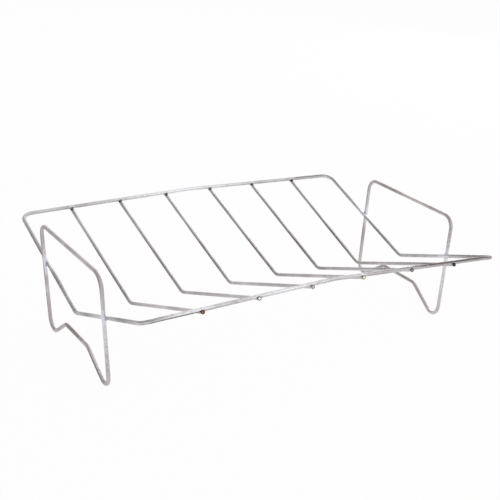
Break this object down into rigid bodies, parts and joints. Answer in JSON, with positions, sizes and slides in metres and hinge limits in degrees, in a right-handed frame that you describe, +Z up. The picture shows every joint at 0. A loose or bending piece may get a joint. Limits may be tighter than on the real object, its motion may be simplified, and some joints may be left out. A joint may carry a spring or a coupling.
{
  "type": "roasting rack",
  "caption": "Fixed V-shaped roasting rack of welded round wire: a folded rim, a row of folded ribs under it, and a leg hoop at each end.",
  "frame": {"origin": "on the surface that the four feet stand on, below the middle of the trough's fold", "axes": "+X along the trough to the right-hand leg hoop, +Y towards the back rail, +Z up; the front rail, which the ribs' tips pass, is on the -Y side"},
  "size_m": [0.3751, 0.2908, 0.1081],
  "materials": {
    "rim_wire": "bright nickel-chrome plate over drawn steel wire, slightly dulled by oven use",
    "rib_wire": "bright nickel-chrome plate over drawn steel wire, slightly dulled by oven use",
    "hoop_wire": "bright nickel-chrome plate over drawn steel wire, slightly dulled by oven use"
  },
  "bodies": {
    "root": {"rim_frame": "rim_wire", "rib_1": "rib_wire", "rib_2": "rib_wire", "rib_3": "rib_wire", "rib_4": "rib_wire", "rib_5": "rib_wire", "rib_6": "rib_wire", "leg_hoop_left": "hoop_wire", "leg_hoop_right": "hoop_wire"}
  },
  "joints": []
}
